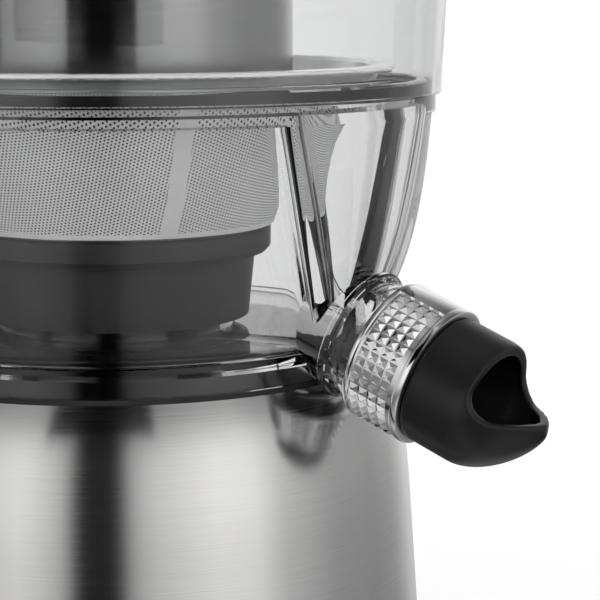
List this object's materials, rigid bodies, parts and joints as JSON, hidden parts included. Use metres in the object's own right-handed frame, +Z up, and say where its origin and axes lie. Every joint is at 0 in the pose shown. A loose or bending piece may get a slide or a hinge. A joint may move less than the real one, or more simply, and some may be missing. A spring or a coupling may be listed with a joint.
{
  "type": "centrifugal juicer",
  "caption": "Upright centrifugal juicer: steel motor base, clear bowl and lid, spinning mesh basket, studded drip-stop spout, feed tube with pusher, side clamps and pulp bin.",
  "frame": {"origin": "on the spin axis, in the plane of the feet", "axes": "+Z up along the spin axis, +X towards the juice spout, -Y towards the speed knob"},
  "size_m": [0.3447, 0.2093, 0.3864],
  "materials": {
    "brushed_body": "fine horizontal brushing",
    "black_plastic": "satin moulded",
    "rubber": "soft matt",
    "clear_plastic": "clear gloss moulding",
    "smoke_plastic": "smoke-clear gloss moulding",
    "pusher_black": "gloss moulded",
    "mesh_steel": "etched stainless",
    "chrome_trim": "polished",
    "clamp_steel": "satin silver",
    "steel": "turned",
    "bracket_alu": "die cast",
    "lamination": "stacked laminations",
    "copper": "enamelled copper",
    "carbon": "pressed carbon",
    "board": "circuit board"
  },
  "bodies": {
    "base": {"base_housing": "brushed_body", "base_plate": "black_plastic", "base_screws": "steel", "rubber_feet": "rubber", "top_deck": "black_plastic", "shaft_seal": "rubber", "lower_bearing": "steel", "upper_bearing": "steel", "lower_motor_bracket": "bracket_alu", "upper_motor_bracket": "bracket_alu", "motor_bolts": "steel", "motor_mounts": "rubber", "motor_stator": "lamination", "field_coils": "copper", "carbon_brushes": "carbon", "brush_holders": "black_plastic", "rear_clamp_bracket": "black_plastic", "front_clamp_bracket": "black_plastic", "clamp_pins": "steel", "interlock_switches": "black_plastic", "knob_bezel": "chrome_trim", "speed_switch": "black_plastic", "control_board": "board", "cord_gland": "black_plastic"},
    "rotor": {"drive_shaft": "steel", "armature": "lamination", "commutator": "copper", "cooling_fan": "black_plastic", "drive_coupling": "black_plastic"},
    "bowl": {"juice_bowl": "clear_plastic", "pulp_guard": "clear_plastic", "spout_seal": "rubber"},
    "spout": {"spout_collar": "chrome_trim", "spout_nozzle": "black_plastic"},
    "basket": {"basket_rim": "mesh_steel", "sieve_mesh": "mesh_steel", "basket_base": "black_plastic", "grating_disc": "mesh_steel"},
    "lid": {"lid": "clear_plastic", "lid_seal": "rubber", "chute_sleeve": "brushed_body", "feed_tube": "clear_plastic"},
    "pusher": {"pusher_cup": "smoke_plastic", "pusher_cap": "pusher_black"},
    "rear_clamp": {"rear_clamp": "clamp_steel"},
    "front_clamp": {"front_clamp": "clamp_steel"},
    "rear_interlock_pin": {"rear_interlock_pin": "steel"},
    "front_interlock_pin": {"front_interlock_pin": "steel"},
    "knob": {"speed_knob": "black_plastic"},
    "bin": {"pulp_bin": "smoke_plastic"}
  },
  "joints": [
    {"name": "knob_turn", "type": "hinge", "parent": "base", "child": "knob", "pos_m": [0, -0.0906, 0.062], "axis": [0, -1, 0], "range_deg": [0, 120]},
    {"name": "rear_clamp_swing", "type": "hinge", "parent": "base", "child": "rear_clamp", "pos_m": [-0.03446, 0.0853, 0.152], "axis": [-0.9272, -0.3746, 0], "range_deg": [-2.5, 75]},
    {"name": "front_clamp_swing", "type": "hinge", "parent": "base", "child": "front_clamp", "pos_m": [-0.03446, -0.0853, 0.152], "axis": [0.9272, -0.3746, 0], "range_deg": [-2.5, 75]},
    {"name": "rear_interlock_press", "type": "slide", "parent": "base", "child": "rear_interlock_pin", "axis": [0.3746, -0.9272, 0], "range_m": [0, 0.0015], "stiffness_N_per_m": 200, "springref_m": -0.002},
    {"name": "front_interlock_press", "type": "slide", "parent": "base", "child": "front_interlock_pin", "axis": [0.3746, 0.9272, 0], "range_m": [0, 0.0015], "stiffness_N_per_m": 200, "springref_m": -0.002},
    {"name": "shaft_spin", "type": "hinge", "parent": "base", "child": "rotor", "pos_m": [0, 0, 0.1], "axis": [0, 0, 1], "continuous": true},
    {"name": "bowl_lift", "type": "slide", "parent": "base", "child": "bowl", "axis": [0, 0, 1], "range_m": [0, 0.09]},
    {"name": "basket_spin", "type": "hinge", "parent": "bowl", "child": "basket", "pos_m": [0, 0, 0.21], "axis": [0, 0, 1], "continuous": true},
    {"name": "spout_turn", "type": "hinge", "parent": "bowl", "child": "spout", "pos_m": [0.0845, 0, 0.1841], "axis": [0.9342, 0, -0.3567], "range_deg": [0, 180]},
    {"name": "lid_lift", "type": "slide", "parent": "bowl", "child": "lid", "axis": [0, 0, 1], "range_m": [0, 0.12]},
    {"name": "pusher_slide", "type": "slide", "parent": "lid", "child": "pusher", "axis": [0, 0, 1], "range_m": [0, 0.16]},
    {"name": "pulp_bin_slide", "type": "slide", "parent": "base", "child": "bin", "axis": [-1, 0, 0], "range_m": [0, 0.15]}
  ],
  "couplings": [
    {"joint": "basket_spin", "follows": "shaft_spin", "ratio": 1}
  ]
}
